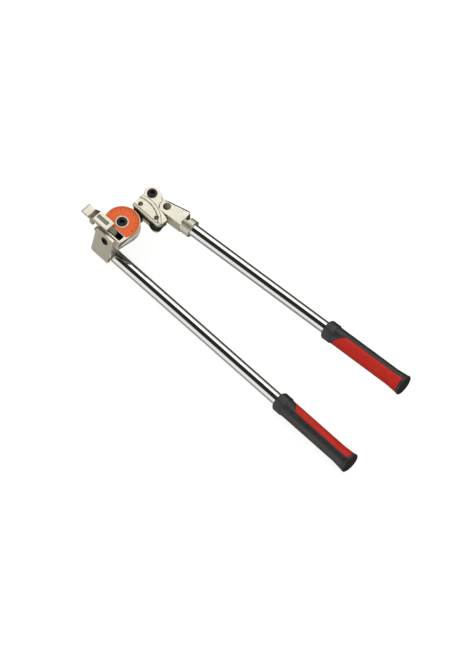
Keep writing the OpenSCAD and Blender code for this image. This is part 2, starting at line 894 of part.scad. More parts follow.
module clevis_plan() {
    circle(r = clevis_r);
    polygon([
        [0, -clevis_r], [clevis_l, -clevis_r], [clevis_l, clevis_end_up],
        [flare_x, flare], [0, clevis_r]
    ]);
}

// The bevel along the flared edge of one cheek
module flare_bevel() {
    rise = atan((flare - clevis_r) / flare_x);
    translate([0, clevis_r, clevis_t / 2]) rotate([0, 0, rise])
        translate([-far / 2, -clevis_bevel, 0]) rotate([-45, 0, 0])
            cube([far, far, far]);
}

module clevis_collar() {
    translate([clevis_l - cut, 0, 0]) rotate([0, 90, 0])
        cylinder(r = collar_r, h = collar_l + cut);
}

module clevis() {
    color(nickel) handle_frame() difference() {
        union() {
            difference() {
                translate([0, 0, -clevis_t / 2]) linear_extrude(clevis_t) clevis_plan();
                flare_bevel();
                mirror([0, 0, 1]) flare_bevel();
            }
            clevis_collar();
        }
        translate([-far, -far, -tongue_t / 2 - fork_gap])
            cube([far + clevis_r, 2 * far, tongue_t + 2 * fork_gap]);
        translate([0, 0, -far]) cylinder(d = clevis_pin_d + 2 * seat_fit, h = 2 * far);
        translate([swing_tube_start, 0, 0]) rotate([0, 90, 0])
            cylinder(r = tube_r + seat_fit, h = far);
        translate([clevis_l - cut, collar_r - notch_depth, -far])
            cube([notch_w + cut, far, 2 * far]);
        translate([set_screw_x, 0, -far]) cylinder(d = set_screw_d + 2 * seat_fit, h = far);
    }
}

module clevis_pin() {
    color(grey) translate([pin_x, pin_y, -clevis_t / 2]) cylinder(d = clevis_pin_d, h = clevis_t);
}

// Latch

// The side view of the hook: its thumb tab, ramp and plate, and its wall outside the tube
module hook_side() {
    difference() {
        polygon([
            [tab_end_x, tab_low_z], [tab_end_x, tab_top_z + tab_lip],
            [tab_end_x + tab_lip, tab_top_z + tab_lip], [tab_end_x + tab_lip, tab_top_z],
            [ramp_low_x, tab_top_z], [ramp_high_x, hook_top_z],
            [hook_near_x, hook_top_z], [hook_near_x, hook_low_z],
            [hook_lip_x, hook_low_z], [hook_lip_x, -hook_down],
            [hook_outer_x, -hook_down], [hook_outer_x, tab_low_z]
        ]);
        translate([-bend_r, 0]) circle(r = groove_r + hook_clear);
        translate([hook_inner_x, -far]) square([far, far]);
    }
}

// The side view of the knuckle and the neck that carries the hook plate
module knuckle_side() {
    translate([latch_pin_x, latch_pin_z]) circle(r = knuckle_r);
    polygon([
        [hook_near_x - neck_in, hook_low_z + neck_h], [hook_near_x - neck_in, hook_low_z],
        [latch_pin_x - knuckle_r, latch_pin_z], [latch_pin_x + knuckle_r, latch_pin_z],
        [latch_pin_x + knuckle_r / 2, face_z], [hook_near_x, hook_low_z + neck_h]
    ]);
}

// Extrudes a side view across the latch, w wide
module across_latch(w) {
    translate([0, -latch_side + w / 2, 0]) rotate([90, 0, 0]) linear_extrude(w) children();
}

module latch_hook() {
    color(nickel) difference() {
        union() {
            across_latch(latch_w) hook_side();
            across_latch(knuckle_w) knuckle_side();
        }
        on_latch_pin(0) cylinder(d = latch_pin_d + 2 * run_fit, h = far);
        translate([name_x - name_l / 2, -latch_side - name_w / 2, hook_top_z - name_sink])
            cube([name_l, name_w, far]);
    }
}

module latch_name_plate() {
    color(grey) translate([name_x - name_l / 2, -latch_side - name_w / 2, hook_top_z - name_sink])
        cube([name_l, name_w, name_t]);
}

former();
dial_plate();
pivot_bolt();
pivot_washer();
pivot_nut();
handle_bracket();
bracket_screw();
fixed_handle_tube();
fixed_set_screw();
fixed_grip_sleeve();
fixed_grip_panel();
fixed_grip_cap();
latch_pin();
arm_link();
pivot_bush();
arm_body();
tie_screw();
roller_cover();
roller_pins();
first_roller();
second_roller();
clevis();
clevis_pin();
swing_handle_tube();
swing_set_screw();
swing_grip_sleeve();
swing_grip_panel();
swing_grip_cap();
latch_hook();
latch_name_plate();
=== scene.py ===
"""Lever tube bender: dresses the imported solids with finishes, printed marks, light and a camera."""

import json
import math

import bmesh
import bpy
from mathutils import Matrix, Vector


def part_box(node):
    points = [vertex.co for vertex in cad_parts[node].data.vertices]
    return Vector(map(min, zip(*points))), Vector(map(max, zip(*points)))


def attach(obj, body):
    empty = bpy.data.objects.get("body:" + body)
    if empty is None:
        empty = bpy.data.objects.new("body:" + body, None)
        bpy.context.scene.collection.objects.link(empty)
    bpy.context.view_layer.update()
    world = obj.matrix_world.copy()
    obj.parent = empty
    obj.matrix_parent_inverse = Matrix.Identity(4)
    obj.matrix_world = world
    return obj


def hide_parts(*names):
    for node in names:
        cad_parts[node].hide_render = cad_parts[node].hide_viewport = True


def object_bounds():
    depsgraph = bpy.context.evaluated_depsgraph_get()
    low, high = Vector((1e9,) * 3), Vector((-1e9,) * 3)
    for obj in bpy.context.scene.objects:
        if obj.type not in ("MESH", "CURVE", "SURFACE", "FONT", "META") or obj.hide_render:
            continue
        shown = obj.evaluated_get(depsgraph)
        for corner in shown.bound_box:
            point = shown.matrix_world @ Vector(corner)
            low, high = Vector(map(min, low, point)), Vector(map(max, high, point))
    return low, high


bl_info = {
    "name": "Lever tube bender",
    "version": (1, 0, 0),
    "blender": (4, 5, 0),
    "location": "View3D > Sidebar > Bender",
    "description": "Dresses the solids of a lever tube bender",
    "category": "Object",
}

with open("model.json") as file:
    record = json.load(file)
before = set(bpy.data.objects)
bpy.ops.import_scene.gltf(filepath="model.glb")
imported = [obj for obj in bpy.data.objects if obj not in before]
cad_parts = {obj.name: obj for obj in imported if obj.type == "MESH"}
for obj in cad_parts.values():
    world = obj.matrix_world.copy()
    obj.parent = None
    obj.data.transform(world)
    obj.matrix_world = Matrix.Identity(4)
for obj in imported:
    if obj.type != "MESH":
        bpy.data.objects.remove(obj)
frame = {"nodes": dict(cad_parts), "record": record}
CAD_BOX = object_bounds()
MM = 0.001

BODY_OF = {node: body for body, nodes in frame["record"]["behaviour"]["bodies"].items() for node in nodes}

CASTINGS = ("former", "handle_bracket", "arm_link", "arm_body", "roller_cover", "clevis", "latch_hook")
BLACK_SCREWS = ("pivot_bolt", "bracket_screw", "tie_screw", "fixed_set_screw", "swing_set_screw")
ROLLERS = ("first_roller", "second_roller")
PINS = ("roller_pins", "clevis_pin")
ZINC_PARTS = ("pivot_washer", "pivot_nut", "latch_pin")
TUBES = ("fixed_handle_tube", "swing_handle_tube")
RUBBER_PARTS = ("fixed_grip_sleeve", "fixed_grip_cap", "swing_grip_sleeve", "swing_grip_cap")
RED_PANELS = ("fixed_grip_panel", "swing_grip_panel")

# Points nearer than MERGE become one, edges flatter than FLAT go, and edges over SHARP are eased.
MERGE = 0.002 * MM
FLAT = math.radians(1)
SHARP = math.radians(32)
# Eased edges of some pieces, in widths of the common one.
PIN_EASE = 2
ZINC_EASE = 0.6
RUBBER_EASE = 1.5

# The dial's range and the step of its numbers, in degrees.
DIAL_DEGREES = 180
NUMERAL_STEP = 20

# What polished metal sees round the handles' axis: degrees from the line over the camera, brightness.
STUDIO_BANDS = (
    (-180, 0.05), (-150, 0.15), (-128, 0.52), (-115, 0.60), (-111, 0.12), (-101, 0.12), (-96, 1.0),
    (-40, 1.0), (-33, 0.03), (33, 0.03), (40, 1.0), (84, 1.0), (94, 0.08), (180, 0.05),
)
# Directions from which the angle of a band is counted, square to the handles and to each other.
BAND_SIDE = (0, 0.936, 0.352)
BAND_ABOVE = (0, -0.352, 0.936)
# A band's green and blue are its level to these powers, which warms the darker bands.
BAND_GREEN = 1.04
BAND_BLUE = 1.18
# The dark wall past the thumb tab: the X of a direction where it starts and is full, and its level.
WALL_START = -0.6
WALL_FULL = -0.85
WALL_LEVEL = 0.06
# What matt surfaces see all round.
FILL_GREY = (0.7, 0.7, 0.7, 1)

# The camera stands far off with a long lens, so that there is nearly no perspective.
CAMERA_TARGET = Vector((0.2115, -0.0191, 0.0))
CAMERA_WAY = Vector((0.332, -0.332, 0.8829)).normalized()
CAMERA_DISTANCE = 12.0
CAMERA_LENS = 495.9
FLOOR_HALF = 6.0
# How much light the floor gives to the camera alone.
FLOOR_LIFT = 0.8
# Name, place and watts of each lamp, and the width of them all.
LAMPS = (("key_lamp", (-1.3, 1.1, 1.9), 9), ("fill_lamp", (1.5, -1.2, 1.7), 6))
LAMP_WIDTH = 2.0


def linear(hex_text):
    """An sRGB hex colour as linear red, green, blue and alpha."""
    parts = [int(hex_text[i:i + 2], 16) / 255 for i in (1, 3, 5)]
    return tuple(c / 12.92 if c <= 0.04045 else ((c + 0.055) / 1.055) ** 2.4 for c in parts) + (1.0,)


def per_mm(size):
    """The texture scale at which one cell of a pattern is that many millimetres."""
    return 1 / (size * MM)


def add_node(tree, kind, inputs=None, **settings):
    """Adds one node, sets it up, and sets or links its inputs by name or number."""
    node = tree.nodes.new(kind)
    for key, value in settings.items():
        setattr(node, key, value)
    for key, value in (inputs or {}).items():
        if isinstance(value, bpy.types.NodeSocket):
            tree.links.new(value, node.inputs[key])
        else:
            node.inputs[key].default_value = value
    return node


def start_material(name):
    """An empty material, its tree and its object coordinates."""
    material = bpy.data.materials.new(name)
    material.use_nodes = True
    tree = material.node_tree
    tree.nodes.clear()
    return material, tree, add_node(tree, "ShaderNodeTexCoord").outputs["Object"]


def end_material(tree, inputs):
    """The surface shader with these inputs, joined to the output."""
    shader = add_node(tree, "ShaderNodeBsdfPrincipled", inputs)
    add_node(tree, "ShaderNodeOutputMaterial", {"Surface": shader.outputs["BSDF"]})


def finish(maker, colours):
    """The finish of this maker's name, made only once."""
    return bpy.data.materials.get(maker.__name__) or maker(colours)


def nickel_plate(name, colours, rough_low, rough_high):
    # Nickel plate on blasted steel: warm and softly bright, with a pebble grain that is drawn at
    # 1.6 mm so that it shows, a slow change of tone, and a painted highlight on the sharp edges.
    material, tree, coord = start_material(name)
    slow = add_node(tree, "ShaderNodeTexNoise", {"Vector": coord, "Scale": per_mm(14), "Detail": 3.0})
    grain = add_node(tree, "ShaderNodeTexNoise", {"Vector": coord, "Scale": per_mm(1.6), "Detail": 4.0})
    edge = add_node(tree, "ShaderNodeMapRange", {
        "Value": add_node(tree, "ShaderNodeNewGeometry").outputs["Pointiness"],
        "From Min": 0.52, "From Max": 0.62,
    })
    body = add_node(tree, "ShaderNodeMix", {
        "Factor": slow.outputs["Fac"], "A": colours.nickel_shade[:], "B": colours.nickel[:],
    }, data_type="RGBA")
    # Painted highlight: a lighter colour on the sharp edges.
    worn = add_node(tree, "ShaderNodeMix", {
        "Factor": edge.outputs["Result"], "A": body.outputs["Result"], "B": colours.nickel_edge[:],
    }, data_type="RGBA")
    rough = add_node(tree, "ShaderNodeMapRange", {
        "Value": grain.outputs["Fac"], "From Min": 0.3, "From Max": 0.7,
        "To Min": rough_low, "To Max": rough_high,
    })
    bump = add_node(tree, "ShaderNodeBump", {
        "Height": grain.outputs["Fac"], "Strength": 0.35, "Distance": 0.12 * MM,
    })
    end_material(tree, {
        "Base Color": worn.outputs["Result"], "Metallic": 1.0,
        "Roughness": rough.outputs["Result"], "Normal": bump.outputs["Normal"],
    })
    return material


def chrome_plate_polished_tube(colours):
    # Chrome plate on a drawn tube: a clear mirror with fine polishing lines along the tube, drawn
    # 2 mm apart so that they show.
    material, tree, coord = start_material("chrome_plate_polished_tube")
    along = add_node(tree, "ShaderNodeMapping", {"Vector": coord, "Scale": (0.02, 1.0, 1.0)})
    lines = add_node(tree, "ShaderNodeTexNoise", {
        "Vector": along.outputs["Vector"], "Scale": per_mm(2), "Detail": 3.0,
    })
    rough = add_node(tree, "ShaderNodeMapRange", {
        "Value": lines.outputs["Fac"], "To Min": 0.03, "To Max": 0.06,
    })
    end_material(tree, {
        "Base Color": colours.chrome[:], "Metallic": 1.0, "Roughness": rough.outputs["Result"],
    })
    return material


def black_oxide_on_steel(colours):
    # Black oxide on a steel screw: near black, half bright, and a little browner where it is thin.
    material, tree, coord = start_material("black_oxide_on_steel")
    patch = add_node(tree, "ShaderNodeTexNoise", {"Vector": coord, "Scale": per_mm(3), "Detail": 4.0})
    tone = add_node(tree, "ShaderNodeMix", {
        "Factor": patch.outputs["Fac"], "A": colours.oxide[:], "B": colours.oxide_thin[:],
    }, data_type="RGBA")
    rough = add_node(tree, "ShaderNodeMapRange", {
        "Value": patch.outputs["Fac"], "To Min": 0.30, "To Max": 0.50,
    })
    end_material(tree, {
        "Base Color": tone.outputs["Result"], "Metallic": 0.5, "Roughness": rough.outputs["Result"],
    })
    return material


def oiled_milled_steel(colours):
    # Painted shade for the inside of the latch's slot: nearly black, as if in shadow, with slow lighter
    # patches.
    material, tree, coord = start_material("oiled_milled_steel")
    patch = add_node(tree, "ShaderNodeTexNoise", {"Vector": coord, "Scale": per_mm(4), "Detail": 4.0})
    tone = add_node(tree, "ShaderNodeMix", {
        "Factor": patch.outputs["Fac"], "A": colours.oil[:], "B": colours.oil_thin[:],
    }, data_type="RGBA")
    rough = add_node(tree, "ShaderNodeMapRange", {
        "Value": patch.outputs["Fac"], "To Min": 0.35, "To Max": 0.6,
    })
    end_material(tree, {
        "Base Color": tone.outputs["Result"], "Metallic": 0.3, "Roughness": rough.outputs["Result"],
    })
    return material


def hardened_steel(name, dark, light):
    # Dark grey-brown metal with a fine mottling: hardened turned steel on the pins, and painted shade on the
    # latch's knuckle.
    material, tree, coord = start_material(name)
    patch = add_node(tree, "ShaderNodeTexNoise", {"Vector": coord, "Scale": per_mm(2), "Detail": 4.0})
    tone = add_node(tree, "ShaderNodeMix", {
        "Factor": patch.outputs["Fac"], "A": dark[:], "B": light[:],
    }, data_type="RGBA")
    rough = add_node(tree, "ShaderNodeMapRange", {
        "Value": patch.outputs["Fac"], "To Min": 0.28, "To Max": 0.45,
    })
    end_material(tree, {
        "Base Color": tone.outputs["Result"], "Metallic": 1.0, "Roughness": rough.outputs["Result"],
    })
    return material


def zinc_plate_on_steel(colours):
    # Zinc plate on small steel parts: pale blue-grey with cloudy crystals.
    material, tree, coord = start_material("zinc_plate_on_steel")
    cloud = add_node(tree, "ShaderNodeTexVoronoi", {"Vector": coord, "Scale": per_mm(2.5)})
    rough = add_node(tree, "ShaderNodeMapRange", {
        "Value": cloud.outputs["Distance"], "To Min": 0.28, "To Max": 0.48,
    })
    tone = add_node(tree, "ShaderNodeMix", {
        "Factor": cloud.outputs["Distance"], "A": colours.zinc[:], "B": colours.zinc_shade[:],
    }, data_type="RGBA")
    end_material(tree, {
        "Base Color": tone.outputs["Result"], "Metallic": 1.0, "Roughness": rough.outputs["Result"],
    })
    return material


def sintered_bronze(colours):
    # Sintered bronze bush: dull gold with fine dark pores.
    material, tree, coord = start_material("sintered_bronze")
    pores = add_node(tree, "ShaderNodeTexNoise", {"Vector": coord, "Scale": per_mm(0.8), "Detail": 5.0})
    tone = add_node(tree, "ShaderNodeMix", {
        "Factor": pores.outputs["Fac"], "A": colours.bronze[:], "B": colours.bronze_pore[:],
    }, data_type="RGBA")
    end_material(tree, {"Base Color": tone.outputs["Result"], "Metallic": 1.0, "Roughness": 0.42})
    return material


def orange_enamel_on_sheet(colours):
    # Printed enamel on sheet steel: even orange with a slight orange peel at 1.5 mm and a satin coat.
    material, tree, coord = start_material("orange_enamel_on_sheet")
    peel = add_node(tree, "ShaderNodeTexNoise", {"Vector": coord, "Scale": per_mm(1.5), "Detail": 2.0})
    fade = add_node(tree, "ShaderNodeTexNoise", {"Vector": coord, "Scale": per_mm(9), "Detail": 4.0})
    tone = add_node(tree, "ShaderNodeMix", {
        "Factor": fade.outputs["Fac"], "A": colours.dial[:], "B": colours.dial_worn[:],
    }, data_type="RGBA")
    rough = add_node(tree, "ShaderNodeMapRange", {
        "Value": fade.outputs["Fac"], "To Min": 0.38, "To Max": 0.52,
    })
    bump = add_node(tree, "ShaderNodeBump", {
        "Height": peel.outputs["Fac"], "Strength": 0.15, "Distance": 0.05 * MM,
    })
    end_material(tree, {
        "Base Color": tone.outputs["Result"], "Roughness": rough.outputs["Result"],
        "Normal": bump.outputs["Normal"], "IOR": 1.5, "Specular IOR Level": 0.3,
    })
    return material


def brown_screen_ink(colours):
    # Screen ink on the enamel: dark brown, matt, a little uneven.
    material, tree, coord = start_material("brown_screen_ink")
    uneven = add_node(tree, "ShaderNodeTexNoise", {"Vector": coord, "Scale": per_mm(0.7), "Detail": 3.0})
    tone = add_node(tree, "ShaderNodeMix", {
        "Factor": uneven.outputs["Fac"], "A": colours.ink[:], "B": colours.ink_thin[:],
    }, data_type="RGBA")
    end_material(tree, {"Base Color": tone.outputs["Result"], "Roughness": 0.6, "IOR": 1.5})
    return material


def moulded_rubber(name, dark, light, rough_low, rough_high, gloss):
    # Moulded rubber with a spark-eroded grain of about 1.2 mm, and dust-dull patches.
    material, tree, coord = start_material(name)
    grain = add_node(tree, "ShaderNodeTexVoronoi", {"Vector": coord, "Scale": per_mm(1.2)})
    patch = add_node(tree, "ShaderNodeTexNoise", {"Vector": coord, "Scale": per_mm(10), "Detail": 4.0})
    tone = add_node(tree, "ShaderNodeMix", {
        "Factor": patch.outputs["Fac"], "A": dark[:], "B": light[:],
    }, data_type="RGBA")
    rough = add_node(tree, "ShaderNodeMapRange", {
        "Value": patch.outputs["Fac"], "To Min": rough_low, "To Max": rough_high,
    })
    bump = add_node(tree, "ShaderNodeBump", {
        "Height": grain.outputs["Distance"], "Strength": 0.4, "Distance": 0.15 * MM,
    })
    end_material(tree, {
        "Base Color": tone.outputs["Result"], "Roughness": rough.outputs["Result"],
        "Normal": bump.outputs["Normal"], "IOR": 1.52, "Specular IOR Level": gloss,
    })
    return material


def brushed_aluminium_plate(colours):
    # Brushed aluminium name plate: grey, with brush lines along its length, drawn 0.9 mm apart.
    material, tree, coord = start_material("brushed_aluminium_plate")
    along = add_node(tree, "ShaderNodeMapping", {"Vector": coord, "Scale": (0.06, 1.0, 1.0)})
    lines = add_node(tree, "ShaderNodeTexNoise", {
        "Vector": along.outputs["Vector"], "Scale": per_mm(0.9), "Detail": 4.0,
    })
    tone = add_node(tree, "ShaderNodeMix", {
        "Factor": lines.outputs["Fac"], "A": colours.plate_shade[:], "B": colours.plate[:],
    }, data_type="RGBA")
    rough = add_node(tree, "ShaderNodeMapRange", {
        "Value": lines.outputs["Fac"], "To Min": 0.35, "To Max": 0.55,
    })
    end_material(tree, {
        "Base Color": tone.outputs["Result"], "Metallic": 0.8, "Roughness": rough.outputs["Result"],
    })
    return material


def node_copy(node, name):
    """A merged copy of a CAD node as a new object."""
    mesh = frame["nodes"][node].data.copy()
    mesh.materials.clear()
    work = bmesh.new()
    work.from_mesh(mesh)
    bmesh.ops.remove_doubles(work, verts=work.verts[:], dist=MERGE)
    work.to_mesh(mesh)
    work.free()
    piece = bpy.data.objects.new(name, mesh)
    bpy.context.scene.collection.objects.link(piece)
    return piece


def bake_modifiers(piece):
    """Turns the piece's modifiers into its mesh."""
    shaped = piece.evaluated_get(bpy.context.evaluated_depsgraph_get())
    piece.data = bpy.data.meshes.new_from_object(shaped)
    piece.modifiers.clear()


def softened_copy(node, name, grid, rounds):
    """A casting with the soft edges that blasting and plating leave."""
    piece = node_copy(node, name)
    remesh = piece.modifiers.new("grid", "REMESH")
    remesh.mode = "VOXEL"
    remesh.voxel_size = grid
    soften = piece.modifiers.new("soften", "SMOOTH")
    soften.factor = 0.5
    soften.iterations = rounds
    bake_modifiers(piece)
    piece.data.shade_smooth()
    return piece


def eased_copy(node, name, width):
    """A turned or moulded piece with its edges eased."""
    piece = node_copy(node, name)
    work = bmesh.new()
    work.from_mesh(piece.data)
    bmesh.ops.dissolve_limit(work, angle_limit=FLAT, verts=work.verts[:], edges=work.edges[:])
    work.to_mesh(piece.data)
    work.free()
    piece.data.shade_smooth()
    bevel = piece.modifiers.new("eased edges", "BEVEL")
    bevel.limit_method = "ANGLE"
    bevel.angle_limit = SHARP
    bevel.width = width
    bevel.segments = 2
    bevel.use_clamp_overlap = False
    bevel.miter_outer = "MITER_ARC"
    bevel.harden_normals = True
    return piece


def dress(piece, material, node, stands_for=True):
    """Gives a piece its material, its body and its slot, and lets it stand for a CAD node."""
    piece.data.materials.clear()
    piece.data.materials.append(material)
    if stands_for:
        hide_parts(node)
    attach(piece, BODY_OF[node])


def touch_up(piece, material, chosen):
    """Gives the faces of a piece whose middle is chosen a second material."""
    piece.data.materials.append(material)
    for face in piece.data.polygons:
        if chosen(face.center):
            face.material_index = 1


def paint(node, material):
    """Gives a CAD node that stays its material."""
    target = frame["nodes"][node]
    target.data.materials.clear()
    target.data.materials.append(material)


def bar_ring_tree(material):
    """Small bars set round an axis: ticks on a dial, ribs on a screw head."""
    tree = bpy.data.node_groups.new("bar_ring", "GeometryNodeTree")
    for name, kind in (
        ("Centre", "NodeSocketVector"), ("Count", "NodeSocketInt"), ("Start", "NodeSocketFloat"),
        ("Step", "NodeSocketFloat"), ("Radius", "NodeSocketFloat"), ("Bar", "NodeSocketVector"),
    ):
        tree.interface.new_socket(name=name, in_out="INPUT", socket_type=kind)
    tree.interface.new_socket(name="Bars", in_out="OUTPUT", socket_type="NodeSocketGeometry")
    sizes = add_node(tree, "NodeGroupInput").outputs
    index = add_node(tree, "GeometryNodeInputIndex").outputs["Index"]
    angle = add_node(tree, "ShaderNodeMath", {
        0: index, 1: sizes["Step"], 2: sizes["Start"],
    }, operation="MULTIPLY_ADD").outputs["Value"]
    across = add_node(tree, "ShaderNodeMath", {0: angle}, operation="COSINE").outputs["Value"]
    up = add_node(tree, "ShaderNodeMath", {0: angle}, operation="SINE").outputs["Value"]
    way = add_node(tree, "ShaderNodeCombineXYZ", {"X": across, "Y": up}).outputs["Vector"]
    place = add_node(tree, "ShaderNodeVectorMath", {
        0: way, "Scale": sizes["Radius"],
    }, operation="SCALE").outputs["Vector"]
    points = add_node(tree, "GeometryNodePoints", {"Count": sizes["Count"], "Position": place})
    bar = add_node(tree, "GeometryNodeMeshCube", {"Size": sizes["Bar"]})
    turn = add_node(tree, "ShaderNodeCombineXYZ", {"Z": angle}).outputs["Vector"]
    ring = add_node(tree, "GeometryNodeInstanceOnPoints", {
        "Points": points.outputs["Points"], "Instance": bar.outputs["Mesh"], "Rotation": turn,
    })
    moved = add_node(tree, "GeometryNodeTransform", {
        "Geometry": ring.outputs["Instances"], "Translation": sizes["Centre"],
    })
    real = add_node(tree, "GeometryNodeRealizeInstances", {"Geometry": moved.outputs["Geometry"]})
    painted = add_node(tree, "GeometryNodeSetMaterial", {
        "Geometry": real.outputs["Geometry"], "Material": material,
    })
    add_node(tree, "NodeGroupOutput", {"Bars": painted.outputs["Geometry"]})
    return tree


def grown(name, tree, values):
    """An object made by a node tree with these named inputs, as a plain mesh."""
    piece = bpy.data.objects.new(name, bpy.data.meshes.new(name))
    bpy.context.scene.collection.objects.link(piece)
    modifier = piece.modifiers.new("grown", "NODES")
    modifier.node_group = tree
    for item in tree.interface.items_tree:
        if item.in_out == "INPUT":
            modifier[item.identifier] = values[item.name]
    bake_modifiers(piece)
    return piece


def numeral_mesh(text, height, thickness):
    """A printed number as a thin mesh round the origin."""
    curve = bpy.data.curves.new("numeral", "FONT")
    curve.body = text
    curve.size = height
    curve.extrude = thickness / 2
    curve.align_x = "CENTER"
    curve.align_y = "CENTER"
    sign = bpy.data.objects.new("numeral", curve)
    bpy.context.scene.collection.objects.link(sign)
    mesh = bpy.data.meshes.new_from_object(sign.evaluated_get(bpy.context.evaluated_depsgraph_get()))
    bpy.data.objects.remove(sign)
    bpy.data.curves.remove(curve)
    return mesh


class BenderSizes(bpy.types.PropertyGroup):
    """Sizes that the dressing adds to the solids."""

    casting_grid: bpy.props.FloatProperty(
        name="Casting grid", description="Grid on which the castings' edges are softened",
        default=0.5 * MM, min=0.3 * MM, unit="LENGTH", precision=5)
    cover_grid: bpy.props.FloatProperty(
        name="Cover grid", description="Grid on which the roller cover's edges are softened",
        default=0.28 * MM, min=0.2 * MM, unit="LENGTH", precision=5)
    casting_rounds: bpy.props.IntProperty(
        name="Casting softness", description="Rounds of softening on the castings' edges",
        default=3, min=0, max=12)
    cover_rounds: bpy.props.IntProperty(
        name="Cover softness", description="Rounds of softening on the roller cover's edges",
        default=14, min=0, max=30)
    slot_before: bpy.props.FloatProperty(
        name="Slot before the pin", description="Length of the latch's slot towards the hook from the pin",
        default=10 * MM, unit="LENGTH", precision=5)
    slot_past: bpy.props.FloatProperty(
        name="Slot past the pin", description="Length of the latch's slot past the latch pin",
        default=14.3 * MM, unit="LENGTH", precision=5)
    slot_width: bpy.props.FloatProperty(
        name="Slot width", description="Width of the latch's slot",
        default=8.4 * MM, unit="LENGTH", precision=5)
    knuckle_before: bpy.props.FloatProperty(
        name="Knuckle before the pin", description="Reach of the knuckle from its pin to the hook plate",
        default=6 * MM, unit="LENGTH", precision=5)
    collar_start: bpy.props.FloatProperty(
        name="Collar start", description="Distance of the clevis's collar from the clevis pin",
        default=31 * MM, unit="LENGTH", precision=5)
    eased_edge: bpy.props.FloatProperty(
        name="Eased edge", description="Width of the eased edges on turned and moulded pieces",
        default=0.4 * MM, unit="LENGTH", precision=5)
    dial_margin: bpy.props.FloatProperty(
        name="Dial margin", description="Bare enamel outside the ticks",
        default=0.7 * MM, unit="LENGTH", precision=5)
    tick_length: bpy.props.FloatProperty(
        name="Tick length", description="Length of a short tick on the dial",
        default=1.7 * MM, unit="LENGTH", precision=5)
    tick_width: bpy.props.FloatProperty(
        name="Tick width", description="Width of a short tick on the dial",
        default=0.35 * MM, unit="LENGTH", precision=5)
    long_tick: bpy.props.FloatProperty(
        name="Long tick", description="Length and width of a long tick, in short ones", default=1.6, min=1)
    numeral_height: bpy.props.FloatProperty(
        name="Numeral height", description="Height of the numbers on the dial",
        default=2.1 * MM, unit="LENGTH", precision=5)
    ink_height: bpy.props.FloatProperty(
        name="Ink height", description="How far the print stands on the dial",
        default=0.04 * MM, unit="LENGTH", precision=6)
    tie_head: bpy.props.FloatProperty(
        name="Tie screw's head", description="Height of the tie screw's head",
        default=4.75 * MM, unit="LENGTH", precision=5)
    knurl_count: bpy.props.IntProperty(
        name="Knurl count", description="Ribs round the head of the tie screw", default=44, min=12)
    knurl_width: bpy.props.FloatProperty(
        name="Knurl width", description="Width of a rib on the tie screw's head",
        default=0.45 * MM, unit="LENGTH", precision=5)
    knurl_depth: bpy.props.FloatProperty(
        name="Knurl depth", description="Depth of a rib on the tie screw's head, mostly in the head",
        default=0.5 * MM, unit="LENGTH", precision=5)
    knurl_end: bpy.props.FloatProperty(
        name="Knurl end", description="Plain length of the tie screw's head at each end of its ribs",
        default=0.6 * MM, unit="LENGTH", precision=5)
    plate_edge: bpy.props.FloatProperty(
        name="Plate edge", description="Width of the name plate's eased edges",
        default=0.1 * MM, unit="LENGTH", precision=5)
    plate_recess: bpy.props.FloatProperty(
        name="Plate recess", description="Depth of the name plate's field in its border",
        default=0.2 * MM, unit="LENGTH", precision=5)
    plate_border: bpy.props.FloatProperty(
        name="Plate border", description="Width of the name plate's raised border",
        default=0.6 * MM, unit="LENGTH", precision=5)


def colour(name, description, hex_text):
    """A colour property with a hex default."""
    return bpy.props.FloatVectorProperty(
        name=name, description=description, subtype="COLOR", size=4, min=0, max=1, default=linear(hex_text))


class BenderColours(bpy.types.PropertyGroup):
    """Colours of the finishes."""

    nickel: colour("Nickel", "Nickel plate where it is bright", "#EFEBDC")
    nickel_shade: colour("Nickel shade", "Nickel plate where it is duller", "#D9D3BE")
    # Painted highlight: the colour that lightens the castings' sharp edges.
    nickel_edge: colour("Nickel edge", "Nickel plate on rubbed edges", "#FAF7EE")
    chrome: colour("Chrome", "Chrome plate", "#E4E5E6")
    oxide: colour("Black oxide", "Black oxide", "#1D1D1F")
    oxide_thin: colour("Thin oxide", "Black oxide where it is thin", "#36322C")
    # Painted shade: near-black colours that darken the inside of the latch's slot as if in shadow.
    oil: colour("Oiled steel", "Oiled steel in the latch's slot", "#0E0D0C")
    oil_thin: colour("Thin oil", "Oiled steel where the oil is thin", "#1C1A17")
    pin: colour("Pin steel", "Hardened pin steel", "#756E5A")
    pin_dark: colour("Dark pin steel", "Hardened pin steel, darkest", "#48443A")
    # Painted shade: the knuckle's two colours darken the plated knuckle as if in shadow under the hook plate.
    knuckle: colour("Knuckle steel", "Hardened steel of the latch's knuckle", "#A5A28E")
    knuckle_dark: colour("Dark knuckle steel", "Hardened steel of the latch's knuckle, darkest", "#76735F")
    zinc: colour("Zinc", "Zinc plate", "#C6CACE")
    zinc_shade: colour("Zinc shade", "Zinc plate, duller crystals", "#A9AEB4")
    bronze: colour("Bronze", "Bronze bush", "#C39A5A")
    bronze_pore: colour("Bronze pore", "Pores of the bronze bush", "#7C5A2C")
    dial: colour("Dial", "Enamel of the dial", "#F36525")
    dial_worn: colour("Dial, worn", "Enamel of the dial where it is worn", "#F77334")
    ink: colour("Ink", "Print on the dial", "#4A2014")
    ink_thin: colour("Thin ink", "Print on the dial where it is thin", "#6B2C18")
    rubber: colour("Rubber", "Black rubber of the grips", "#262627")
    rubber_dull: colour("Dull rubber", "Black rubber where it is dusty", "#39393A")
    red: colour("Red rubber", "Red panels of the grips", "#C21B0E")
    red_dull: colour("Dull red rubber", "Red panels where they are rubbed", "#D02A18")
    plate: colour("Plate", "Name plate", "#9C988C")
    plate_shade: colour("Plate shade", "Name plate between its brush lines", "#7B776C")
    floor: colour("Floor", "Paper under the bender", "#A6A5A2")


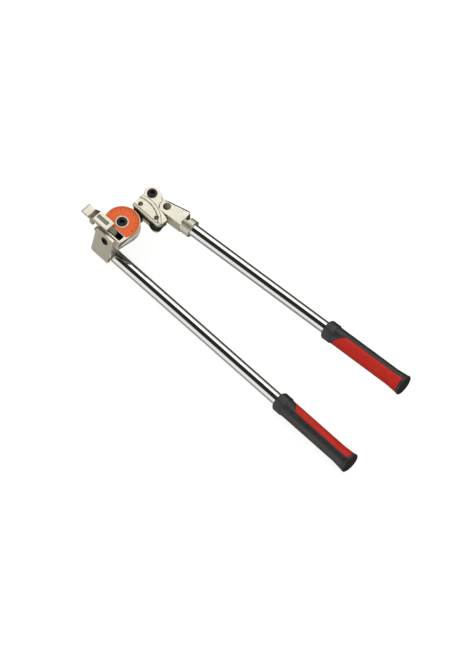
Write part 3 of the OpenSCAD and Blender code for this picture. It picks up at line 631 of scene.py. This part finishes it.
class BENDER_OT_castings(bpy.types.Operator):
    """Softened, plated castings in place of the sharp solids."""

    bl_idname = "bender.castings"
    bl_label = "Castings"

    def execute(self, context):
        sizes = context.scene.bender_sizes
        colours = context.scene.bender_colours
        low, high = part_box("latch_pin")
        pin = (low + high) / 2
        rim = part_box("dial_plate")[0].z - sizes.casting_grid
        spread = sizes.casting_grid / 2

        # Faces inside the latch's slot, which get a painted shade.
        def in_slot(place):
            off = place - pin
            along = -sizes.slot_before - spread < off.x < sizes.slot_past + spread
            return along and abs(off.y) < sizes.slot_width / 2 + spread and place.z < rim

        def on_knuckle(place):
            return place.x > pin.x - sizes.knuckle_before + spread

        pivot = sum(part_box("clevis_pin"), Vector()) / 2
        handle_way = sum(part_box("swing_set_screw"), Vector()) / 2 - pivot
        handle_way.z = 0
        handle_way.normalize()

        def on_collar(place):
            return (place - pivot).dot(handle_way) > sizes.collar_start + spread

        plate = nickel_plate("nickel_plate_blasted_casting", colours, rough_low=0.30, rough_high=0.44)
        for node in CASTINGS:
            grid, rounds = sizes.casting_grid, sizes.casting_rounds
            if node == "roller_cover":
                grid, rounds = sizes.cover_grid, sizes.cover_rounds
            piece = softened_copy(node, node + "_casting", grid, rounds)
            dress(piece, plate, node)
            # Painted shade: the inside of the latch's slot is drawn near black.
            if node == "former":
                touch_up(piece, finish(oiled_milled_steel, colours), in_slot)
            # Painted shade: the latch's knuckle is plated like the rest of the casting, and is drawn in
            # darker steel tones as if in shadow under the hook plate.
            if node == "latch_hook":
                rubbed = hardened_steel("knuckle_painted_shade", colours.knuckle_dark, colours.knuckle)
                touch_up(piece, rubbed, on_knuckle)
            if node == "clevis":
                duller = nickel_plate("nickel_plate_blasted_collar", colours, rough_low=0.44, rough_high=0.58)
                touch_up(piece, duller, on_collar)
        return {"FINISHED"}


class BENDER_OT_dial(bpy.types.Operator):
    """Enamelled dial with its ticks and its numbers of degrees."""

    bl_idname = "bender.dial"
    bl_label = "Dial"

    def execute(self, context):
        sizes = context.scene.bender_sizes
        colours = context.scene.bender_colours
        paint("dial_plate", finish(orange_enamel_on_sheet, colours))
        ink = finish(brown_screen_ink, colours)
        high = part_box("dial_plate")[1]
        rim = high.x - sizes.dial_margin
        face = high.z
        tree = bar_ring_tree(ink)
        for name, step, stretch in (("dial_ticks_short", 5, 1.0), ("dial_ticks_long", 10, sizes.long_tick)):
            length = sizes.tick_length * stretch
            ticks = grown(name, tree, {
                "Centre": (0.0, 0.0, face), "Count": DIAL_DEGREES // step + 1,
                "Start": 0.0, "Step": math.radians(step),
                "Radius": rim - length / 2,
                "Bar": (length, sizes.tick_width * stretch, 2 * sizes.ink_height),
            })
            dress(ticks, ink, "dial_plate", stands_for=False)
        numbers = bmesh.new()
        ring = rim - sizes.long_tick * sizes.tick_length - 0.8 * sizes.numeral_height
        for degrees in range(0, DIAL_DEGREES + 1, NUMERAL_STEP):
            mesh = numeral_mesh(str(degrees), sizes.numeral_height, 2 * sizes.ink_height)
            turn = math.radians(DIAL_DEGREES - degrees)
            place = Matrix.Translation((ring * math.cos(turn), ring * math.sin(turn), face))
            mesh.transform(place @ Matrix.Rotation(turn - math.pi / 2, 4, "Z"))
            numbers.from_mesh(mesh)
            bpy.data.meshes.remove(mesh)
        mesh = bpy.data.meshes.new("dial_numbers")
        numbers.to_mesh(mesh)
        numbers.free()
        piece = bpy.data.objects.new("dial_numbers", mesh)
        context.scene.collection.objects.link(piece)
        dress(piece, ink, "dial_plate", stands_for=False)
        return {"FINISHED"}


class BENDER_OT_screws(bpy.types.Operator):
    """Black screws with eased edges, and the ribbed head of the tie screw."""

    bl_idname = "bender.screws"
    bl_label = "Screws"

    def execute(self, context):
        sizes = context.scene.bender_sizes
        oxide = finish(black_oxide_on_steel, context.scene.bender_colours)
        for node in BLACK_SCREWS:
            dress(eased_copy(node, node + "_black", sizes.eased_edge), oxide, node)
        low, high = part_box("tie_screw")
        head_r = (high.x - low.x) / 2
        knurl = grown("tie_screw_knurl", bar_ring_tree(oxide), {
            "Centre": ((low.x + high.x) / 2, (low.y + high.y) / 2, high.z - sizes.tie_head / 2),
            "Count": sizes.knurl_count, "Start": 0.0, "Step": math.tau / sizes.knurl_count,
            "Radius": head_r - 0.4 * sizes.knurl_depth,
            "Bar": (sizes.knurl_depth, sizes.knurl_width, sizes.tie_head - 2 * sizes.knurl_end),
        })
        dress(knurl, oxide, "tie_screw", stands_for=False)
        return {"FINISHED"}


class BENDER_OT_turned(bpy.types.Operator):
    """Rollers, pins, bush, washer and nut."""

    bl_idname = "bender.turned"
    bl_label = "Rollers and pins"

    def execute(self, context):
        sizes = context.scene.bender_sizes
        colours = context.scene.bender_colours
        oxide = finish(black_oxide_on_steel, colours)
        pin = hardened_steel("hardened_pin_steel", colours.pin_dark, colours.pin)
        zinc = finish(zinc_plate_on_steel, colours)
        for node in ROLLERS:
            dress(eased_copy(node, node + "_black", sizes.eased_edge), oxide, node)
        for node in PINS:
            dress(eased_copy(node, node + "_dark", PIN_EASE * sizes.eased_edge), pin, node)
        for node in ZINC_PARTS:
            dress(eased_copy(node, node + "_zinc", ZINC_EASE * sizes.eased_edge), zinc, node)
        paint("pivot_bush", finish(sintered_bronze, colours))
        return {"FINISHED"}


class BENDER_OT_handles(bpy.types.Operator):
    """Chrome on the two handle tubes."""

    bl_idname = "bender.handles"
    bl_label = "Handle tubes"

    def execute(self, context):
        chrome = finish(chrome_plate_polished_tube, context.scene.bender_colours)
        for node in TUBES:
            paint(node, chrome)
        return {"FINISHED"}


class BENDER_OT_grips(bpy.types.Operator):
    """Black and red rubber grips."""

    bl_idname = "bender.grips"
    bl_label = "Grips"

    def execute(self, context):
        sizes = context.scene.bender_sizes
        colours = context.scene.bender_colours
        black = moulded_rubber(
            "black_moulded_rubber", colours.rubber, colours.rubber_dull,
            rough_low=0.32, rough_high=0.48, gloss=0.5)
        red = moulded_rubber(
            "red_moulded_rubber", colours.red, colours.red_dull,
            rough_low=0.38, rough_high=0.55, gloss=0.25)
        for node in RUBBER_PARTS:
            dress(eased_copy(node, node + "_rubber", RUBBER_EASE * sizes.eased_edge), black, node)
        for node in RED_PANELS:
            dress(eased_copy(node, node + "_rubber", sizes.eased_edge), red, node)
        return {"FINISHED"}


class BENDER_OT_name_plate(bpy.types.Operator):
    """Bare name plate with a raised border, set in the latch."""

    bl_idname = "bender.name_plate"
    bl_label = "Name plate"

    def execute(self, context):
        sizes = context.scene.bender_sizes
        low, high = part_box("latch_name_plate")
        work = bmesh.new()
        place = Matrix.Translation((low + high) / 2) @ Matrix.Diagonal(high - low).to_4x4()
        bmesh.ops.create_cube(work, size=1.0, matrix=place)
        top = max(work.faces, key=lambda f: f.calc_center_median().z)
        slope = 0.75 * sizes.plate_recess
        for thickness, depth in ((sizes.plate_border, 0.0), (slope, -sizes.plate_recess)):
            bmesh.ops.inset_individual(
                work, faces=[top], thickness=thickness, depth=depth, use_even_offset=True)
        mesh = bpy.data.meshes.new("name_plate")
        work.to_mesh(mesh)
        work.free()
        piece = bpy.data.objects.new("name_plate_bare", mesh)
        context.scene.collection.objects.link(piece)
        bevel = piece.modifiers.new("eased edges", "BEVEL")
        bevel.width = sizes.plate_edge
        bevel.segments = 2
        bevel.harden_normals = True
        mesh.shade_smooth()
        dress(piece, finish(brushed_aluminium_plate, context.scene.bender_colours), "latch_name_plate")
        return {"FINISHED"}


class BENDER_OT_stage(bpy.types.Operator):
    """Pale floor, soft studio light and the camera."""

    bl_idname = "bender.stage"
    bl_label = "Stage"

    def execute(self, context):
        scene = context.scene
        scene.view_settings.view_transform = "Standard"
        ground = CAD_BOX[0][2]
        ends = (-FLOOR_HALF, FLOOR_HALF)
        corners = [(x, y, ground) for x in ends for y in ends]
        mesh = bpy.data.meshes.new("floor")
        mesh.from_pydata(corners, [], [(0, 2, 3, 1)])
        floor = bpy.data.objects.new("floor", mesh)
        scene.collection.objects.link(floor)
        mesh.materials.append(self.floor_paper(scene.bender_colours))
        floor.visible_glossy = False
        self.studio_world(scene)
        for name, place, watts in LAMPS:
            self.lamp(scene, name, Vector(place), watts)
        data = bpy.data.cameras.new("camera")
        data.lens = CAMERA_LENS
        camera = bpy.data.objects.new("camera", data)
        camera.location = CAMERA_TARGET + CAMERA_DISTANCE * CAMERA_WAY
        camera.rotation_euler = (-CAMERA_WAY).to_track_quat("-Z", "Y").to_euler()
        scene.collection.objects.link(camera)
        scene.camera = camera
        return {"FINISHED"}

    def floor_paper(self, colours):
        # Paper sheet: grey, lifted to white for the camera, so that it keeps only a faint shadow.
        material = bpy.data.materials.new("matt_paper_floor")
        material.use_nodes = True
        tree = material.node_tree
        tree.nodes.clear()
        matt = add_node(tree, "ShaderNodeBsdfDiffuse", {"Color": colours.floor[:]})
        seen = add_node(tree, "ShaderNodeLightPath").outputs["Is Camera Ray"]
        lift = add_node(tree, "ShaderNodeMath", {0: seen, 1: FLOOR_LIFT}, operation="MULTIPLY")
        white = add_node(tree, "ShaderNodeEmission", {
            "Color": (1, 1, 1, 1), "Strength": lift.outputs["Value"],
        })
        both = add_node(tree, "ShaderNodeAddShader", {0: matt.outputs["BSDF"], 1: white.outputs["Emission"]})
        add_node(tree, "ShaderNodeOutputMaterial", {"Surface": both.outputs["Shader"]})
        return material

    def studio_world(self, scene):
        # Soft boxes along both sides of the handles, with a dark gap over the camera between them,
        # and a dark wall past the thumb tab, where the boxes end.
        world = bpy.data.worlds.new("studio")
        scene.world = world
        world.use_nodes = True
        tree = world.node_tree
        tree.nodes.clear()
        way = add_node(tree, "ShaderNodeTexCoord").outputs["Generated"]
        side = add_node(tree, "ShaderNodeVectorMath", {0: way, 1: BAND_SIDE}, operation="DOT_PRODUCT")
        above = add_node(tree, "ShaderNodeVectorMath", {0: way, 1: BAND_ABOVE}, operation="DOT_PRODUCT")
        turn = add_node(tree, "ShaderNodeMath", {
            0: side.outputs["Value"], 1: above.outputs["Value"],
        }, operation="ARCTAN2")
        place = add_node(tree, "ShaderNodeMapRange", {
            "Value": turn.outputs["Value"], "From Min": -math.pi, "From Max": math.pi,
        })
        mirrored = add_node(tree, "ShaderNodeValToRGB", {"Fac": place.outputs["Result"]})
        bands = mirrored.color_ramp.elements
        bands.remove(bands[1])
        bands[0].position = 0.0
        for number, (degrees, level) in enumerate(STUDIO_BANDS):
            stop = bands[0] if number == 0 else bands.new((degrees + 180) / 360)
            stop.color = (level, level ** BAND_GREEN, level ** BAND_BLUE, 1)
        length = add_node(tree, "ShaderNodeSeparateXYZ", {"Vector": way}).outputs["X"]
        wall = add_node(tree, "ShaderNodeMapRange", {
            "Value": length, "From Min": WALL_FULL, "From Max": WALL_START,
            "To Min": WALL_LEVEL, "To Max": 1.0,
        })
        boxes = add_node(tree, "ShaderNodeVectorMath", {
            0: mirrored.outputs["Color"], "Scale": wall.outputs["Result"],
        }, operation="SCALE")
        path = add_node(tree, "ShaderNodeLightPath").outputs
        fill = add_node(tree, "ShaderNodeMix", {
            "Factor": path["Is Glossy Ray"], "A": FILL_GREY, "B": boxes.outputs["Vector"],
        }, data_type="RGBA")
        clear = add_node(tree, "ShaderNodeMath", {
            0: path["Is Camera Ray"], 1: path["Is Transmission Ray"],
        }, operation="MAXIMUM")
        shown = add_node(tree, "ShaderNodeMix", {
            "Factor": clear.outputs["Value"], "A": fill.outputs["Result"], "B": (1, 1, 1, 1),
        }, data_type="RGBA")
        sky = add_node(tree, "ShaderNodeBackground", {"Color": shown.outputs["Result"], "Strength": 1.0})
        add_node(tree, "ShaderNodeOutputWorld", {"Surface": sky.outputs["Background"]})

    def lamp(self, scene, name, place, watts):
        data = bpy.data.lights.new(name, "AREA")
        data.size = LAMP_WIDTH
        data.energy = watts
        lamp = bpy.data.objects.new(name, data)
        lamp.location = place
        lamp.rotation_euler = (-place).to_track_quat("-Z", "Y").to_euler()
        scene.collection.objects.link(lamp)


class BENDER_PT_panel(bpy.types.Panel):
    """Lists the pieces, sizes and colours of the bender."""

    bl_label = "Lever tube bender"
    bl_idname = "BENDER_PT_panel"
    bl_space_type = "VIEW_3D"
    bl_region_type = "UI"
    bl_category = "Bender"

    def draw(self, context):
        for operator in OPERATORS:
            self.layout.operator(operator.bl_idname)
        for group in (context.scene.bender_sizes, context.scene.bender_colours):
            box = self.layout.box()
            for key in group.bl_rna.properties.keys():
                if key not in ("rna_type", "name"):
                    box.prop(group, key)


OPERATORS = (
    BENDER_OT_castings, BENDER_OT_dial, BENDER_OT_screws, BENDER_OT_turned, BENDER_OT_handles,
    BENDER_OT_grips, BENDER_OT_name_plate, BENDER_OT_stage,
)
CLASSES = (BenderSizes, BenderColours) + OPERATORS + (BENDER_PT_panel,)


def register():
    for item in CLASSES:
        bpy.utils.register_class(item)
    bpy.types.Scene.bender_sizes = bpy.props.PointerProperty(type=BenderSizes)
    bpy.types.Scene.bender_colours = bpy.props.PointerProperty(type=BenderColours)


def unregister():
    del bpy.types.Scene.bender_colours
    del bpy.types.Scene.bender_sizes
    for item in reversed(CLASSES):
        bpy.utils.unregister_class(item)


def main():
    register()
    bpy.ops.bender.castings()
    bpy.ops.bender.dial()
    bpy.ops.bender.screws()
    bpy.ops.bender.turned()
    bpy.ops.bender.handles()
    bpy.ops.bender.grips()
    bpy.ops.bender.name_plate()
    bpy.ops.bender.stage()


if __name__ == "__main__":
    main()
